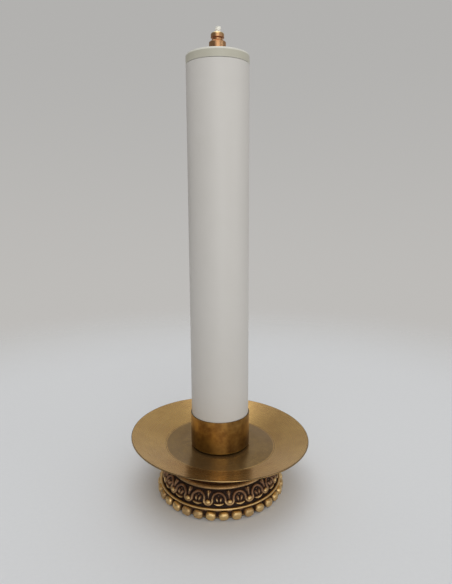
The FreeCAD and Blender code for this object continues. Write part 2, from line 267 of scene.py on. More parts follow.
def frieze_relief(across, down):
    """Height of the carving in mm at points across from an arch's middle and down from the top."""
    side = np.abs(across)
    gap = HALF_PITCH - side
    ribbon = np.minimum(
        arc_distance(side, down, ARCH, -90, 14),
        arc_distance(gap, down, (0.0, CUP[1], CUP[2]), -14, 90),
    )
    height = dome(ribbon / RIBBON, 1.8)
    lean = math.radians(17)
    from_side, from_down = side - PETAL[0], down - PETAL[1]
    petal_across = from_side * math.cos(lean) + from_down * math.sin(lean)
    petal_down = from_down * math.cos(lean) - from_side * math.sin(lean)
    petal_width = 1.35 - 0.2 * np.clip(petal_down, -PETAL_HALF_LENGTH, PETAL_HALF_LENGTH)
    petal = np.hypot(petal_across / petal_width, petal_down / PETAL_HALF_LENGTH)
    height = np.maximum(height, dome(petal, 1.9))
    seed = np.hypot(side / 0.9, (down - 5.4) / 1.0)
    height = np.maximum(height, dome(seed, 1.0))
    tulip_half = np.interp(down, (0.2, 1.3, 2.6, 4.8, 8.8), (1.0, 2.6, 2.5, 1.25, 0.7))
    tulip = dome(np.clip(gap / tulip_half, 0, 1), np.interp(down, (1, 4, 8), (2.5, 2.2, 1.5)))
    tulip = tulip * np.interp(down, (0.2, 1.2, 8.0, 8.8), (0, 1, 1, 0))
    crease = 1 - 0.55 * np.exp(-((gap - 1.05) / 0.35) ** 2) * np.interp(down, (2.2, 4.0), (1, 0))
    height = np.maximum(height, tulip * crease)
    ball = np.hypot(gap / 2.95, (down - 11.4) / 2.6)
    height = np.maximum(height, dome(ball, 2.6))
    tongue_line = 14.0 - 0.06 * side ** 2
    tongue_half = 1.75 * np.clip(1 - side / TONGUE_REACH, 0, None) ** 0.55 + 1e-3
    tongue = (down - tongue_line) / tongue_half
    return np.maximum(height, np.where(side < TONGUE_REACH, dome(tongue, 2.0), 0))


sample = frieze_relief(*np.meshgrid(np.linspace(-10.4, 10.4, 61), np.linspace(0, 15.2, 46)))
print("highest carving", round(float(sample.max()), 2), "mm, bare ground",
      round(float((sample == 0).mean() * 100)), "%")

# %% [markdown]
# ## The base casting
# The outline runs from the foot ring up over a plain dark recess, a thin round fillet, the frieze
# and a plain round moulding, in over the deck, and back through the hollow underside. Only the rows
# of the frieze are close together. The ground of the frieze is set back a little and the motifs
# stand out from it along the outline's own normal. The tone of each point comes from its height, so
# the finish can keep the ground nearly black and the tops worn. The tone also grows towards the
# lower rows of the frieze, so its upper rows, under the pan, carry painted shade. The wall of the
# foot ring, seen between the pearls, gets a dark tone: painted shade.

# %% Base casting
felt_outer, _, foot = edges_of("felt_ring")
base_top = edges_of("base_casting")[2]
foot_outer = felt_outer + 0.3
foot_inner = foot_outer - 4.8
recess = foot_outer - 1.3
ring_top = foot + 8.55
fillet_low = ring_top + 1.25
fillet_radius = foot_outer + 1.9
frieze_foot = (fillet_radius - 2.4, fillet_low + 1.9)
frieze_top = (frieze_foot[0] - 7.0, base_top - 2.9)
frieze_middle = (frieze_foot[0] - 2.1, frieze_foot[1] + 7.6)
deck = base_top - 3.1
hollow_top = deck - 5.0
screw_hole = 4.3

lower_rows = rounded([
    (foot_inner, foot + 3.0, 0.0), (foot_inner, foot, 0.4), (foot_outer, foot, 0.6),
    # The foot ring's wall gets a tone of -0.7: painted shade in the gaps between the pearls.
    (foot_outer, foot + 2.5, 0.0, -0.7), (foot_outer, ring_top - 2.0, 0.0, -0.7),
    (foot_outer, ring_top, 0.7), (recess, ring_top, 0.25, -1.0), (recess, fillet_low, 0.25, -1.0),
    (fillet_radius, fillet_low, 0.0, -0.4),
], closed=False, arc_steps=3)
fillet_rows = arc_through((fillet_radius, fillet_low), (fillet_radius + 1.2, fillet_low + 0.95),
                          (fillet_radius, fillet_low + 1.9), 9, 1.0)[1:]
frieze_rows = arc_through(frieze_foot, frieze_middle, frieze_top, FRIEZE_ROWS)
roll_rows = arc_through(frieze_top, (frieze_top[0] - 2.9, base_top),
                        (frieze_top[0] - 5.8, deck), 12, 0.45)[1:]
inner_rows = rounded([
    (frieze_top[0] - 5.8, deck, 0.0, -0.8), (screw_hole, deck, 0.3), (screw_hole, hollow_top, 0.3),
    (frieze_top[0] - 3.0, hollow_top, 1.5), (foot_inner, foot + 13.2, 1.5),
    (foot_inner, foot + 3.1, 0.0),
], closed=False, arc_steps=3)[1:]
base_rows = np.vstack((lower_rows, fillet_rows, frieze_rows, roll_rows, inner_rows))
base_steps = REPEATS * COLUMNS
front = -math.pi / 2 - math.pi / REPEATS - math.radians(1.0)
column = np.arange(base_steps)
across = ((column % COLUMNS) - COLUMNS / 2) / COLUMNS * 2 * HALF_PITCH
lengths = np.hypot(*np.diff(frieze_rows[:, :2], axis=0).T)
down = np.concatenate((np.cumsum(lengths[::-1])[::-1], [0.0]))
wander = uneven(FRIEZE_ROWS, base_steps, 5, 12, 11)
WANDER = 0.22                # mm by which a motif may drift from its place
GROUND_DEPTH = 1.0           # mm by which the ground is set back
relief = frieze_relief(across[None, :] + WANDER * wander,
                       down[:, None] + WANDER * np.roll(wander, 200, axis=1))
relief *= 1 + 0.10 * uneven(FRIEZE_ROWS, base_steps, 8, 30, 12)
lift = np.zeros((len(base_rows), base_steps))
first = len(lower_rows) + len(fillet_rows)
outside_rows = first + FRIEZE_ROWS + len(roll_rows)
lift[first:first + FRIEZE_ROWS] = relief - GROUND_DEPTH
lift[:outside_rows] += 0.07 * uneven(len(lift), base_steps, 3, 9, 13)[:outside_rows]
lift[:4] = 0
tone = np.repeat(base_rows[:, 2:3], base_steps, axis=1)
# Lower rows get more tone and upper rows less: painted shade of the pan on the top of the frieze.
wear_and_pan_shade = relief * np.interp(down, (3, 13), (0.85, 1.1))[:, None]
tone[first:first + FRIEZE_ROWS] = np.interp(
    wear_and_pan_shade, (0, 0.4, 1.0, 1.8, 2.35), (-0.9, -0.6, -0.15, 0.25, 1))
heading = np.roll(base_rows[:, :2], -1, axis=0) - np.roll(base_rows[:, :2], 1, axis=0)
heading /= np.linalg.norm(heading, axis=1)[:, None]
casting = turn("base_casting_carved", base_rows, base_steps,
               (lift * heading[:, 1:2], -lift * heading[:, :1], tone), start=front)
place(casting, "stand", "antique_brass", "base_casting")
print("rows", len(base_rows), "columns", base_steps)

# %% [markdown]
# ## The pearls
# Thirty-two pearls stand round the foot ring. They are cast in one piece with it, then knocked and
# rubbed for years, so they are a little squared and no two are alike. A superellipsoid, where the
# power of the sphere's formula is above two, gives that shape. Each one gets its own power, size
# and turn from seeded random numbers. Each one's tone is high on its outer top, worn bright and
# also a painted highlight, and low underneath and towards the ring: painted shade.

# %% Pearls
PEARLS = 32
PEARL_TURN = 3.5             # degrees from the front to the nearest pearl
PEARL_STEPS = 28
PEARL_ROWS = 17
pearl_radius = 4.35
pearl_ring = foot_outer + 1.6
pearl_height = foot - 0.15 + pearl_radius
draw = np.random.default_rng(32)
longitude = circle(PEARL_STEPS)
latitude = np.linspace(-math.pi / 2, math.pi / 2, PEARL_ROWS + 2)[1:-1]
lat_grid, lon_grid = np.meshgrid(latitude, longitude, indexing="ij")
unit = np.stack((np.sin(lat_grid), np.cos(lat_grid) * np.cos(lon_grid),
                 np.cos(lat_grid) * np.sin(lon_grid)), axis=-1).reshape(-1, 3)
unit = np.vstack((unit, [[-1, 0, 0], [1, 0, 0]]))
band = np.arange(PEARL_ROWS * PEARL_STEPS).reshape(PEARL_ROWS, PEARL_STEPS)
around = np.roll(band, -1, axis=1)
pearl_faces = [list(quad) for quad in np.stack(
    (band[:-1], around[:-1], around[1:], band[1:]), axis=-1).reshape(-1, 4).tolist()]
pearl_faces += [[len(unit) - 2, b, a] for a, b in zip(band[0].tolist(), around[0].tolist())]
pearl_faces += [[len(unit) - 1, a, b] for a, b in zip(band[-1].tolist(), around[-1].tolist())]
pearl_points, pearl_tones, all_faces = [], [], []
for number in range(PEARLS):
    power = draw.uniform(2.6, 3.5)
    size = pearl_radius * draw.uniform(0.96, 1.0, 3) * (1.0, 1.2, 0.99)
    reach = np.sum(np.abs(unit) ** power, axis=1) ** (-1 / power)
    bead = unit * reach[:, None] * size
    bead *= np.minimum(1, 1.22 * pearl_radius / np.linalg.norm(bead, axis=1))[:, None] ** 0.6
    turn_x = draw.uniform(-0.25, 0.25)
    spin = np.array(((1, 0, 0), (0, math.cos(turn_x), -math.sin(turn_x)),
                     (0, math.sin(turn_x), math.cos(turn_x))))
    bead = bead @ spin.T
    wear = draw.uniform(0.5, 1.0)
    # Tone rises towards the outer top and falls underneath: wear with a painted highlight, painted
    # shade below.
    pearl_wear_and_shade = np.interp(unit[:, 0] + 0.3 * unit[:, 2], (-0.55, -0.15, 0.45), (-1, -0.2, wear))
    angle = math.radians(PEARL_TURN - 90) + 2 * math.pi * number / PEARLS
    out = np.array((math.cos(angle), math.sin(angle), 0))
    sideways = np.array((-math.sin(angle), math.cos(angle), 0))
    middle = out * pearl_ring + np.array((0, 0, pearl_height))
    all_faces += [[corner + number * len(unit) for corner in face] for face in pearl_faces]
    pearl_points.append(middle + bead[:, :1] * out + bead[:, 1:2] * sideways
                        + bead[:, 2:] * np.array((0, 0, 1)))
    pearl_tones.append(pearl_wear_and_shade)
pearls = make_piece("pearl_row", np.vstack(pearl_points), all_faces, np.concatenate(pearl_tones))
place(pearls, "stand", "antique_brass", "base_casting")

# %% [markdown]
# ## Felt under the foot
# A thin ring of felt keeps the casting off the altar. Felt is a mat of fibres with no crisp edge,
# so its ring is turned with soft corners and its sides are pushed in and out by the seeded swell.

# %% Felt ring
felt_rows = rounded([
    (felt_outer - 4.2, 0, 0.3), (felt_outer, 0, 0.3), (felt_outer, foot, 0.3),
    (felt_outer - 4.2, foot, 0.3),
], arc_steps=3, support=0.2)
fuzz = 0.08 * uneven(len(felt_rows), 240, 1, 1.5, 5)
fuzz[(felt_rows[:, 1] < 0.05) | (felt_rows[:, 1] > foot - 0.05)] = 0
felt = turn("felt_foot", felt_rows, 240, (fuzz, 0 * fuzz))
place(felt, "stand", "felt", "felt_ring")

# %% [markdown]
# ## The neck
# Between base and pan stands a spool with a hollow turned into its side. It stays in the shadow of
# the pan, and its hollow gets a dark tone that makes it nearly black: painted shade. Its underside
# is hollow too.

# %% Neck
neck_foot_radius, neck_low, neck_high = edges_of("neck")
neck_top_radius = neck_foot_radius - 3.0
NECK_CORE = 20.0             # radius of the hollow inside it
# The hollow's tone of -0.4 is painted shade from the pan above.
scotia = arc_through((neck_foot_radius, neck_low + 2.5),
                     (neck_top_radius - 9.0, (neck_low + neck_high) / 2),
                     (neck_top_radius, neck_high - 2.5), 17, -0.4)
neck_rows = np.vstack((
    rounded([(NECK_CORE, neck_low + 8, 0), (NECK_CORE, neck_low, 0.4),
             (neck_foot_radius, neck_low, 0.4, 0.3),
             (neck_foot_radius, neck_low + 2.4, 0.0, 0.5)], closed=False, arc_steps=3),
    scotia,
    rounded([(neck_top_radius, neck_high - 2.4, 0.0, 0.5), (neck_top_radius, neck_high, 0.4, 0.3),
             (screw_hole, neck_high, 0.2), (screw_hole, neck_high - 6.0, 0.2),
             (NECK_CORE, neck_high - 6.0, 0.6), (NECK_CORE, neck_low + 8.1, 0)],
            closed=False, arc_steps=3),
))
neck = turn("neck_spool", neck_rows, 160)
place(neck, "stand", "antique_brass", "neck")

# %% [markdown]
# ## The drip pan
# The pan is spun from one sheet: a disc is pressed over a wooden former while it turns. That leaves
# a flat floor, a soft bend, a straight flange and a cut edge all round, and faint rings from the
# spinning roller. The rings are so shallow that they go into the mesh as ripples of a few
# hundredths of a millimetre, close enough to catch the light. The cut edge gets the darkest tone,
# a painted line of shade round the rim.
# Wide thin pans seldom stay true: beyond the neck that carries it, this one leans by a little over
# two degrees. The lean grows between the neck and the bend, so the middle stays seated.

# %% Drip pan
pan_outer, pan_under, pan_top = edges_of("drip_pan")
PAN_SHEET = 1.2
PAN_FLOOR_RADIUS = 58.5
pan_floor = pan_under + PAN_SHEET
pan_rise = pan_top - pan_floor
pan_run = pan_outer - PAN_FLOOR_RADIUS
pan_slope = math.hypot(pan_run, pan_rise)
pan_across = PAN_SHEET * pan_rise / pan_slope
pan_below = PAN_SHEET * pan_run / pan_slope
pan_bend = PAN_SHEET * (pan_slope - pan_run) / pan_rise


def stretch(first_point, last_point, count, tone=0.0):
    """Evenly spaced points between two others, as corners that are not rounded."""
    spots = np.linspace(first_point, last_point, count + 2)[1:-1]
    return [(float(radius), float(height), 0.0, tone) for radius, height in spots]


pan_rows = rounded(
    [(screw_hole, pan_under, 0.2)]
    + stretch((screw_hole, pan_under), (PAN_FLOOR_RADIUS + pan_bend, pan_under), 14)
    + [(PAN_FLOOR_RADIUS + pan_bend, pan_under, 3.0, 0.3)]
    + stretch((PAN_FLOOR_RADIUS + pan_bend, pan_under), (pan_outer, pan_top - pan_below), 12)
    # The cut edge's tone of -1.0 paints a line of shade round the rim.
    + [(pan_outer, pan_top - pan_below, 0.25, -1.0), (pan_outer - pan_across, pan_top, 0.25, -1.0)]
    + stretch((pan_outer - pan_across, pan_top), (PAN_FLOOR_RADIUS, pan_floor), 24)
    + [(PAN_FLOOR_RADIUS, pan_floor, 1.0, -0.55)]
    + stretch((PAN_FLOOR_RADIUS, pan_floor), (screw_hole, pan_floor), 34, -0.48)
    + [(screw_hole, pan_floor, 0.2)],
)
PAN_STEPS = 288
ripple = 0.012 * np.sin(pan_rows[:, :1] * 2.1) + 0.03 * uneven(len(pan_rows), PAN_STEPS, 2, 24, 21)
ripple[np.abs(pan_rows[:, 2]) > 0.5] = 0
PAN_LEAN = math.radians(2.2)
pan_angles = circle(PAN_STEPS)
leaning = np.interp(pan_rows[:, :1], (neck_top_radius, PAN_FLOOR_RADIUS), (0, 1))
ripple -= leaning * math.tan(PAN_LEAN) * pan_rows[:, :1] * np.cos(pan_angles)[None, :]
pan = turn("spun_pan", pan_rows, PAN_STEPS, (0 * ripple, ripple))
place(pan, "stand", "pan_brass", "drip_pan")

# %% [markdown]
# ## The socket
# The socket is a straight cup of thin tube with a floor brazed in and a bevel filed round its lower
# edge. It was beaten true on a bar, so its wall is very slightly uneven, which is what makes the
# highlight waver. Its bevel gets the highest tone, a painted highlight, and its top rim a low one,
# painted shade that takes away the highlight there. The thin spacer under it is only a dark line,
# and keeps its CAD mesh.

# %% Socket
socket_outer, socket_foot, socket_top = edges_of("socket_cup")
SOCKET_WALL = 1.0
SOCKET_FLOOR = 3.0
SOCKET_BEVEL = 1.6
socket_seat = socket_foot + SOCKET_FLOOR
socket_inner = socket_outer - SOCKET_WALL
# Bevel tone 1.0 is a painted highlight; the top rim's -0.3 is painted shade.
socket_rows = rounded(
    [(screw_hole, socket_foot, 0.2), (socket_outer - SOCKET_BEVEL, socket_foot, 0.25, 1.0),
     (socket_outer, socket_foot + SOCKET_BEVEL, 0.35, 1.0)]
    + stretch((socket_outer, socket_foot + 2.4), (socket_outer, socket_top - 0.8), 14)
    + [(socket_outer, socket_top, 0.3, -0.3), (socket_inner, socket_top, 0.3, -0.6)]
    + stretch((socket_inner, socket_top), (socket_inner, socket_seat), 6, -0.3)
    + [(socket_inner, socket_seat, 0.5), (screw_hole, socket_seat, 0.2)],
    arc_steps=4,
)
SOCKET_STEPS = 224
dents = 0.035 * uneven(len(socket_rows), SOCKET_STEPS, 3, 11, 31)
dents[socket_rows[:, 0] < socket_outer - 0.01] = 0
socket = turn("socket_cup_turned", socket_rows, SOCKET_STEPS, (dents - np.abs(dents), 0 * dents))
place(socket, "stand", "socket_bronze", "socket_cup")

# %% [markdown]
# ## Threads and the clamping screw
# One M8 screw pulls the whole stand together. A thread on a lathe is a wave that climbs one pitch
# in each turn, so the push of each point depends on its height less its angle. The slot in the head
# is cut with a Boolean modifier, as a file would cut it, and the modifier is then applied.


# %% Thread and cutting helpers
def thread_push(rows, steps, low, high, pitch, depth):
    """Radial push in mm of a right-hand thread, fading out at both ends."""
    climb = (rows[:, 1:2] / pitch - circle(steps)[None, :] / (2 * math.pi)) % 1
    wave = np.clip(1.25 * (2 * np.abs(climb - 0.5)) - 0.1, 0, 1)
    fade = np.interp(rows[:, 1:2], (low, low + 0.8 * pitch, high - 0.8 * pitch, high), (0, 1, 1, 0))
    return -depth * wave * fade


def thread_rows(radius, low, high, pitch, per_pitch=8):
    """Close rows up a threaded stretch, as corners that are not rounded."""
    count = max(2, int((high - low) / pitch * per_pitch))
    return [(radius, float(height), 0.0) for height in np.linspace(low, high, count)]


def apply_modifiers(piece):
    """Replaces the piece's mesh with its evaluated one."""
    graph = bpy.context.evaluated_depsgraph_get()
    finished = bpy.data.meshes.new_from_object(piece.evaluated_get(graph))
    piece.modifiers.clear()
    piece.data = finished


def cut_away(piece, low_corner, high_corner):
    """Cuts a box, given in mm, out of the piece."""
    low_corner, high_corner = np.array(low_corner), np.array(high_corner)
    signs = np.array([(x, y, z) for z in (0, 1) for y in (0, 1) for x in (0, 1)])
    corners = low_corner + signs * (high_corner - low_corner)
    faces = [[0, 2, 3, 1], [4, 5, 7, 6], [0, 1, 5, 4], [2, 6, 7, 3], [0, 4, 6, 2], [1, 3, 7, 5]]
    cutter = make_piece("cutter", corners, faces, np.full(8, 0.5))
    boolean = piece.modifiers.new("slot", "BOOLEAN")
    boolean.operation = "DIFFERENCE"
    boolean.object = cutter
    apply_modifiers(piece)
    bpy.data.objects.remove(cutter)


print("thread and slot helpers ready")

# %% Clamping screw, nut and washers
_, screw_low, screw_high = edges_of("centre_screw")
SCREW = 4.0                  # its radius
SCREW_PITCH = 1.25
SCREW_STEPS = 64
thread_top = screw_low + 22
screw_shoulder = screw_high - 5.0
screw_points = (
    [(0.0, screw_low, 0.0), (SCREW - 0.9, screw_low, 0.2), (SCREW, screw_low + 0.9, 0.0)]
    + thread_rows(SCREW, screw_low + 1.2, thread_top, SCREW_PITCH)
    + [(SCREW, screw_shoulder, 0.2), (6.5, screw_shoulder, 0.2), (6.5, screw_high, 0.6)]
    + [(0.0, screw_high, 0.0)]
)
screw_rows = rounded(screw_points, arc_steps=3)
screw_rows = screw_rows if screw_rows[0, 1] < screw_rows[-1, 1] else screw_rows[::-1]
push = thread_push(screw_rows, SCREW_STEPS, screw_low + 0.9, thread_top, SCREW_PITCH, 0.65)
push[screw_rows[:, 0] != SCREW] = 0
screw = turn("clamping_screw", screw_rows, SCREW_STEPS, (push, 0 * push))
cut_away(screw, (-8, -0.8, screw_high - 2.5), (8, 0.8, screw_high + 1))
place(screw, "stand", "plated_steel", "centre_screw")

_, nut_low, nut_high = edges_of("hex_nut")
NUT_FLATS = 13.0             # across its flats
NUT_STEPS = 144
nut_rows = rounded(
    [(SCREW + 0.05, nut_low, 0.4), (NUT_FLATS / 2, nut_low, 0.0)]
    + [(NUT_FLATS / math.sqrt(3), float(height), 0.0)
       for height in np.linspace(nut_low, nut_high, 16)]
    + [(NUT_FLATS / 2, nut_high, 0.0), (SCREW + 0.05, nut_high, 0.4)], arc_steps=3)
nut_angles = circle(NUT_STEPS)
flat_radius = NUT_FLATS / 2 / np.cos((nut_angles % (math.pi / 3)) - math.pi / 6)
chamfer = NUT_FLATS / 2 + 1.8 * np.minimum(nut_rows[:, 1] - nut_low, nut_high - nut_rows[:, 1])
wanted = np.minimum(flat_radius[None, :], chamfer[:, None])
outside = nut_rows[:, 0] > NUT_FLATS / 2 + 0.1
push = np.where(outside[:, None], wanted - nut_rows[:, :1], 0)
nut = turn("clamping_nut", nut_rows, NUT_STEPS, (push, 0 * push))
place(nut, "stand", "plated_steel", "hex_nut")

washer_outer, washer_low, washer_high = edges_of("flat_washer")
washer = turn("flat_washer_pressed", rounded([
    (screw_hole, washer_low, 0.3), (washer_outer, washer_low, 0.15),
    (washer_outer, washer_high, 0.5), (screw_hole, washer_high, 0.15)], arc_steps=3), 96)
place(washer, "stand", "plated_steel", "flat_washer")

# %% [markdown]
# ## The spring washer
# A spring washer is a bar bent round, cut through at a slant. Its two ends never quite close. A
# section swept through nearly a full turn gives it, with a cap on each end.

# %% Spring washer
spring_outer, spring_low, spring_high = 7.4, *edges_of("spring_washer")[1:]
SPRING_STEPS = 90
section = rounded([(screw_hole, spring_low, 0.3), (spring_outer, spring_low, 0.3),
                   (spring_outer, spring_high, 0.3), (screw_hole, spring_high, 0.3)], arc_steps=3)
spring_angles = np.linspace(math.radians(7.5), math.radians(352.5), SPRING_STEPS)
spring_points = np.concatenate([
    np.column_stack((section[:, 0] * math.cos(angle), section[:, 0] * math.sin(angle),
                     section[:, 1]))
    for angle in spring_angles])
ring_size = len(section)
spring_faces = []
for step in range(SPRING_STEPS - 1):
    for corner in range(ring_size):
        following = (corner + 1) % ring_size
        spring_faces.append([step * ring_size + corner, (step + 1) * ring_size + corner,
                             (step + 1) * ring_size + following, step * ring_size + following])
spring_faces.append(list(range(ring_size)))
spring_faces.append([len(spring_points) - 1 - corner for corner in range(ring_size)])
spring = make_piece("spring_washer_split", spring_points, spring_faces,
                    np.tile(section[:, 2], SPRING_STEPS))
place(spring, "stand", "plated_steel", "spring_washer")

# %% [markdown]
# ## The white candle tube
# The candle itself is a plastic tube made to look like a wax altar candle. It is extruded, so it is
# straight and even, but not perfectly round: a few hundredths of a millimetre of swell keep its
# highlight alive. Its top edge is rounded enough to catch a thin line of light under the cap.

# %% Candle tube
tube_outer, tube_low, tube_high = edges_of("candle_tube")
TUBE_WALL = 2.5
tube_inner = tube_outer - TUBE_WALL
tube_rows = rounded(
    [(tube_inner, tube_low, 0.4), (tube_outer, tube_low, 0.5, 0.3)]
    + stretch((tube_outer, tube_low + 1), (tube_outer, tube_high - 1), 40)
    + [(tube_outer, tube_high, 0.45, 0.6), (tube_inner, tube_high, 0.4)]
    + stretch((tube_inner, tube_high - 1), (tube_inner, tube_low + 1), 12)
)
TUBE_STEPS = 192
sway = 0.02 * uneven(len(tube_rows), TUBE_STEPS, 5, 16, 41)
sway[tube_rows[:, 0] < tube_outer - 0.01] = 0
tube = turn("candle_tube_extruded", tube_rows, TUBE_STEPS, (sway - np.abs(sway), 0 * sway))
place(tube, "candle", "white_tube", "candle_tube")

# %% [markdown]
# ## The cap and the oil cartridge
# The cap closes the tube: a band as wide as the tube, a spigot that slides into it, and a threaded
# boss for the burner. The tank for the oil hangs under it. Its thin moulded wall is stiffened with
# shallow ribs, and its foot is round, as bottles are.

# %% Cap
head_outer, head_low, head_high = edges_of("cartridge_head")
HEAD_HOLE = 6.1
BURNER_PITCH = 1.5
band_foot = head_high - 8.5
deck_under = head_high - 4.5
boss_foot = head_high - 10.8
boss_outer = HEAD_HOLE + 3
spigot = tube_outer - TUBE_WALL - 0.1
# The cap's wide top rounding gets tone 1.0 for a painted highlight along it.
head_rows = rounded(
    [(HEAD_HOLE, head_high, 0.4), (head_outer, head_high, 2.6, 1.0)]
    + stretch((head_outer, head_high - 3.2), (head_outer, band_foot + 0.8), 4)
    + [(head_outer, band_foot, 0.35, 0.4), (spigot, band_foot, 0.2), (spigot, head_low, 0.4),
       (spigot - 2.5, head_low, 0.4), (spigot - 2.5, deck_under, 0.8),
       (boss_outer, deck_under, 0.8), (boss_outer, boss_foot, 0.5), (HEAD_HOLE, boss_foot, 0.4)]
    + thread_rows(HEAD_HOLE, head_high - 10.2, head_high - 0.6, BURNER_PITCH, 10)
)
HEAD_STEPS = 192
push = -thread_push(head_rows, HEAD_STEPS, head_high - 10.4, head_high - 0.6, BURNER_PITCH, 0.5)
push[head_rows[:, 0] != HEAD_HOLE] = 0
head = turn("candle_cap", head_rows, HEAD_STEPS, (push, 0 * push))
place(head, "cartridge", "white_head", "cartridge_head")

# %% Oil tank
flange_outer, tank_low, tank_high = edges_of("cartridge_tank")
TANK_WALL = 1.2
tank_outer = flange_outer - 2.35
tank_inner = tank_outer - TANK_WALL
tank_rows = rounded(
    [(0.0, tank_low + 1.2, 0.0), (8.0, tank_low + 0.6, 4.0), (15.0, tank_low, 3.0),
     (tank_outer, tank_low, 4.0)]
    + stretch((tank_outer, tank_low + 5), (tank_outer, tank_high - 3), 110)
    + [(tank_outer, tank_high - 1.5, 0.3), (flange_outer, tank_high - 1.5, 0.3),
       (flange_outer, tank_high, 0.3), (tank_inner, tank_high, 0.3)]
    + stretch((tank_inner, tank_high - 1), (tank_inner, tank_low + 6), 20)
    + [(tank_inner, tank_low + TANK_WALL, 3.0), (15.0, tank_low + TANK_WALL, 3.0),
       (8.0, tank_low + 1.8, 4.0), (0.0, tank_low + 2.4, 0.0)]
)
TANK_STEPS = 128
on_wall = (np.abs(tank_rows[:, 0] - tank_outer) < 0.01)[:, None]
rib = np.interp(np.abs((tank_rows[:, 1:2] - tank_low) % 12 - 6), (0, 0.8, 1.4), (-0.6, -0.4, 0))
ribs = np.where(on_wall & (tank_rows[:, 1:2] > tank_low + 10), rib, 0) * np.ones((1, TANK_STEPS))
tank = turn("oil_tank_moulded", tank_rows, TANK_STEPS, (ribs, 0 * ribs))
place(tank, "cartridge", "tank_plastic", "cartridge_tank")

# %% [markdown]
# ## The burner
# The burner is turned from brass rod: a collar with a fine thread below and a knurled grip flange,
# a groove, and a round knob that holds the wick tube. The knurl is forty-eight shallow flutes cut
# with the same push as the threads. The top of the grip, the upper collar and the lower side of the
# knob get low tones: painted dark reflections in bands. A flat rubber ring seals it on the cap.

# %% Gasket
gasket_outer, gasket_low, gasket_high = edges_of("burner_gasket")
gasket = turn("burner_seal", rounded([
    (HEAD_HOLE, gasket_low, 0.2), (gasket_outer, gasket_low, 0.2),
    (gasket_outer, gasket_high, 0.35), (HEAD_HOLE, gasket_high, 0.2)], arc_steps=4), 96)
place(gasket, "gasket", "gasket_rubber", "burner_gasket")

# %% Burner collar
flange_radius, collar_low, collar_high = edges_of("burner_collar")
COLLAR_THREAD = 6.0
COLLAR_BODY = 8.0
COLLAR_BORE = 3.25
KNOB_SOCKET = 4.45           # the hole in the collar that takes the knob's thread
GRIP_HEIGHT = 3.0
collar_foot = gasket_high + 0.1
# The grip's top and the upper collar get low tones: painted dark reflected bands.
collar_rows = rounded(
    [(COLLAR_BORE, collar_low, 0.2), (COLLAR_THREAD - 0.8, collar_low, 0.2),
     (COLLAR_THREAD, collar_low + 0.8, 0.0)]
    + thread_rows(COLLAR_THREAD, collar_low + 1.0, collar_foot - 0.3, BURNER_PITCH, 12)
    + [(COLLAR_THREAD, collar_foot, 0.0), (flange_radius, collar_foot, 0.3),
       (flange_radius, collar_foot + GRIP_HEIGHT, 0.4, -0.5),
       (COLLAR_BODY, collar_foot + GRIP_HEIGHT, 0.4, -0.7),
       (COLLAR_BODY, collar_high - 1.0, 0.35, -0.5), (COLLAR_BODY - 1.0, collar_high, 0.3),
       (KNOB_SOCKET, collar_high, 0.15), (KNOB_SOCKET, collar_high - 4.0, 0.15),
       (COLLAR_BORE, collar_high - 4.0, 0.15)]
)
COLLAR_STEPS = 240
push = thread_push(
    collar_rows, COLLAR_STEPS, collar_low + 0.8, collar_foot - 0.3, BURNER_PITCH, 0.8)
push[collar_rows[:, 0] != COLLAR_THREAD] = 0
flutes = -0.28 * np.abs(np.sin(24 * 2 * math.pi * np.arange(COLLAR_STEPS) / COLLAR_STEPS)) ** 0.6
on_grip = (collar_rows[:, 0] > flange_radius - 0.5) & (collar_rows[:, 1] > collar_foot + 0.2)
push[on_grip] = flutes
collar = turn("burner_collar_knurled", collar_rows, COLLAR_STEPS, (push, 0 * push))
place(collar, "burner", "burner_brass", "burner_collar")

# %% Burner knob
knob_outer, knob_low, knob_high = edges_of("burner_knob")
knob_seat = collar_high + 1.0
# The lower side of the knob gets low tones: a painted dark reflected band.
knob = turn("burner_knob_turned", rounded([
    (COLLAR_BORE, knob_low, 0.15), (4.4, knob_low, 0.3), (4.4, knob_seat, 0.1),
    (4.9, knob_seat, 0.2, -0.3), (4.9, knob_seat + 1.5, 0.3, -0.6),
    (knob_outer, knob_seat + 1.5, 1.4, -0.7),
    (knob_outer, knob_high, 1.4), (COLLAR_BORE, knob_high, 0.3)], arc_steps=8), 128)
place(knob, "burner", "burner_brass", "burner_knob")

# %% [markdown]
# ## The wick
# The wick is a cord of braided glass fibre. Two sets of waves that climb the cord in opposite
# directions and cross each other make the braid. The tip leans to one side and has come undone a
# little, so short loose fibres stand round it, each one a thin bent tube of its own.

# %% Wick braid
wick_outer, wick_low, wick_high = edges_of("wick")
WICK_STEPS = 48
WICK_LEAN = 0.075            # mm sideways at 1 mm above the bend
LEAN_POWER = 1.7             # how fast the lean grows with height
LEAN_LENGTH = 5.5            # mm of wick above the bend
wick_rows = rounded(
    [(0.0, wick_low, 0.0), (wick_outer, wick_low, 0.4)]
    + stretch((wick_outer, wick_low + 1), (wick_outer, wick_high - 2.2), 420)
    + [(wick_outer - 0.1, wick_high - 1.6, 0.0), (wick_outer - 0.45, wick_high - 0.8, 0.0),
       (wick_outer - 1.1, wick_high - 0.25, 0.0), (0.9, wick_high - 0.1, 0.0),
       (0.0, wick_high, 0.0)]
)
twist = circle(WICK_STEPS)
climb = wick_rows[:, 1:2] * 2 * math.pi / 9.6
weave = np.maximum(np.sin(4 * twist + 4 * climb), np.sin(4 * twist - 4 * climb))
braid = 0.26 * (weave - 1) * np.clip(wick_rows[:, :1] / wick_outer, 0, 1)
wick = turn("wick_braided", wick_rows, WICK_STEPS,
            (braid, 0 * braid, np.clip(weave, -1, 1) * np.ones_like(braid)))
tip_start = (wick_high - LEAN_LENGTH) * MM
for vertex in wick.data.vertices:
    above = max(0.0, vertex.co.z - tip_start) / MM
    vertex.co.x += WICK_LEAN * above ** LEAN_POWER * MM
place(wick, "wick", "glass_fibre_wick", "wick")

